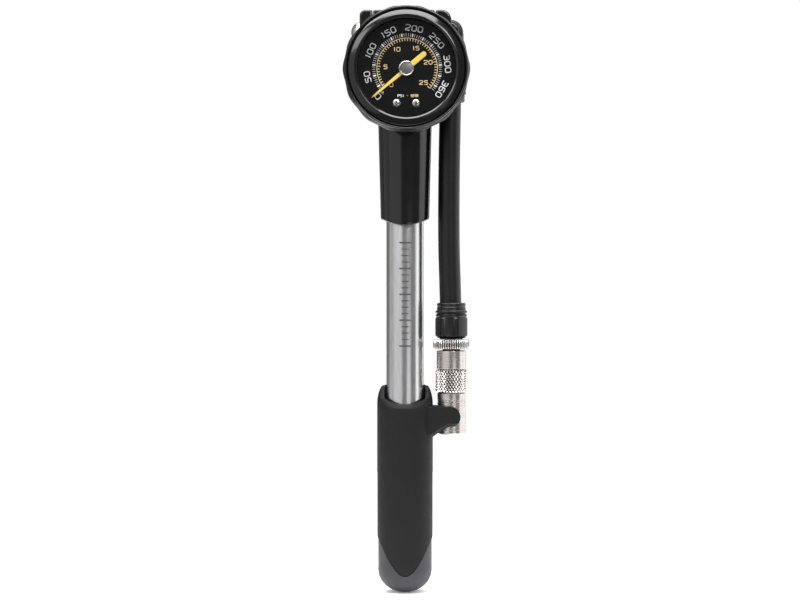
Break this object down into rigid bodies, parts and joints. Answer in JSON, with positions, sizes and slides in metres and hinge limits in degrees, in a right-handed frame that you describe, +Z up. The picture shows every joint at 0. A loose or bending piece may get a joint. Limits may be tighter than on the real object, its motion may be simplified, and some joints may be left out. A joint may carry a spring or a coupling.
{
  "type": "shock suspension pump",
  "caption": "Slim high-pressure hand pump for bicycle suspension shocks: dial gauge on the head, bleed button, swivel hose with screw-on valve chuck, and a rubber handle that clips the chuck.",
  "frame": {"origin": "the bottom centre of the folded pump standing upright, level with the tip of its handle", "axes": "+Z up along the barrel, -Y out of the gauge's face, +X towards the hose, -X towards the bleed button"},
  "size_m": [0.0487, 0.0358, 0.226],
  "materials": {
    "grip_rubber": "moulded matte rubber",
    "clip_plastic": "moulded matte plastic",
    "cap_plastic": "fine satin texture",
    "satin_plastic": "satin moulded",
    "gloss_housing": "polished moulded",
    "gauge_shell": "polished moulded",
    "bumper_rubber": "moulded rubber",
    "boot_rubber": "moulded rubber",
    "hose_rubber": "extruded rubber cover",
    "seal_rubber": "greased nitrile",
    "brushed_barrel": "drawn and brushed lengthwise, clear anodised",
    "nickel": "satin nickel plate",
    "steel": "turned",
    "brass": "machined",
    "dial_print": "matte black with printed scales",
    "needle_paint": "satin yellow paint",
    "lens": "clear moulded window"
  },
  "bodies": {
    "handle": {"handle_core": "satin_plastic", "handle_grip": "grip_rubber", "handle_end_cap": "cap_plastic", "chuck_clip": "clip_plastic", "piston_rod": "steel", "rod_screw": "steel", "bump_stop": "seal_rubber", "piston_head": "brass", "piston_seal": "seal_rubber"},
    "pump_head": {"barrel_tube": "brushed_barrel", "barrel_gland": "satin_plastic", "gland_wiper": "seal_rubber", "check_valve_seat": "brass", "check_valve_spring": "steel", "head_housing": "gloss_housing", "spring_retainer": "brass", "bleed_spring": "steel", "swivel_bolt": "steel", "gauge_case": "gauge_shell", "gauge_bumper": "bumper_rubber", "gauge_bezel": "gauge_shell", "lens_gasket": "seal_rubber", "gauge_lens": "lens", "gauge_stem": "brass", "gauge_seal": "seal_rubber", "bourdon_tube": "brass", "gauge_dial": "dial_print", "dial_screw_left": "steel", "dial_screw_right": "steel", "needle_stop": "steel"},
    "check_ball": {"check_valve_ball": "steel"},
    "bleed_valve": {"bleed_button": "nickel", "bleed_pin": "brass", "bleed_seal": "seal_rubber"},
    "gauge_needle": {"needle": "needle_paint", "needle_hub": "nickel", "pinion": "brass"},
    "sector": {"sector_gear": "brass"},
    "swivel": {"swivel_elbow": "satin_plastic", "swivel_seal_front": "seal_rubber", "swivel_seal_back": "seal_rubber", "upper_hose_boot": "boot_rubber", "hose": "hose_rubber"},
    "hose_end": {"lower_hose_boot": "boot_rubber", "chuck_stem": "steel", "stem_seal": "seal_rubber"},
    "lock_ring": {"lock_ring": "nickel"},
    "chuck_body": {"chuck_body": "nickel"},
    "chuck_collar": {"chuck_collar": "nickel", "chuck_tube": "nickel", "valve_gasket": "seal_rubber"}
  },
  "joints": [
    {"name": "pump_stroke", "type": "slide", "parent": "handle", "child": "pump_head", "axis": [0, 0, 1], "range_m": [0, 0.12]},
    {"name": "check_valve_lift", "type": "slide", "parent": "pump_head", "child": "check_ball", "axis": [0, 0, 1], "range_m": [0, 0.0008], "stiffness_N_per_m": 30, "springref_m": -0.002, "deforming": ["check_valve_spring"]},
    {"name": "bleed_press", "type": "slide", "parent": "pump_head", "child": "bleed_valve", "axis": [1, 0, 0], "range_m": [0, 0.0016], "stiffness_N_per_m": 800, "springref_m": -0.001, "deforming": ["bleed_spring"]},
    {"name": "needle_turn", "type": "hinge", "parent": "pump_head", "child": "gauge_needle", "pos_m": [0, -0.01185, 0.2021], "axis": [0, 1, 0], "range_deg": [0, 259.2], "stiffness_Nm_per_rad": 0.0001, "springref_deg": -11.46, "deforming": ["bourdon_tube"]},
    {"name": "sector_turn", "type": "hinge", "parent": "pump_head", "child": "sector", "pos_m": [0.00866, -0.00915, 0.1971], "axis": [0, 1, 0], "range_deg": [-37.2, 0]},
    {"name": "hose_swivel", "type": "hinge", "parent": "pump_head", "child": "swivel", "pos_m": [0.0172, 0.00715, 0.2178], "axis": [0, -1, 0], "range_deg": [0, 180]},
    {"name": "hose_flex", "type": "hinge", "parent": "swivel", "child": "hose_end", "pos_m": [0.01663, 0.00715, 0.152], "axis": [0, -1, 0], "range_deg": [0, 60], "stiffness_Nm_per_rad": 0.06, "deforming": ["hose"]},
    {"name": "lock_ring_spin", "type": "hinge", "parent": "hose_end", "child": "lock_ring", "pos_m": [0.0176, 0.00715, 0.0965], "axis": [0, 0, 1], "range_deg": [0, 720]},
    {"name": "chuck_slide", "type": "slide", "parent": "hose_end", "child": "chuck_body", "axis": [0, 0, -1], "range_m": [0, 0.00301]},
    {"name": "collar_spin", "type": "hinge", "parent": "chuck_body", "child": "chuck_collar", "pos_m": [0.0176, 0.00715, 0.0745], "axis": [0, 0, 1], "continuous": true}
  ],
  "couplings": [
    {"joint": "sector_turn", "follows": "needle_turn", "ratio": -0.14286},
    {"joint": "chuck_slide", "follows": "lock_ring_spin", "m_per_rad": 0.00023873}
  ]
}
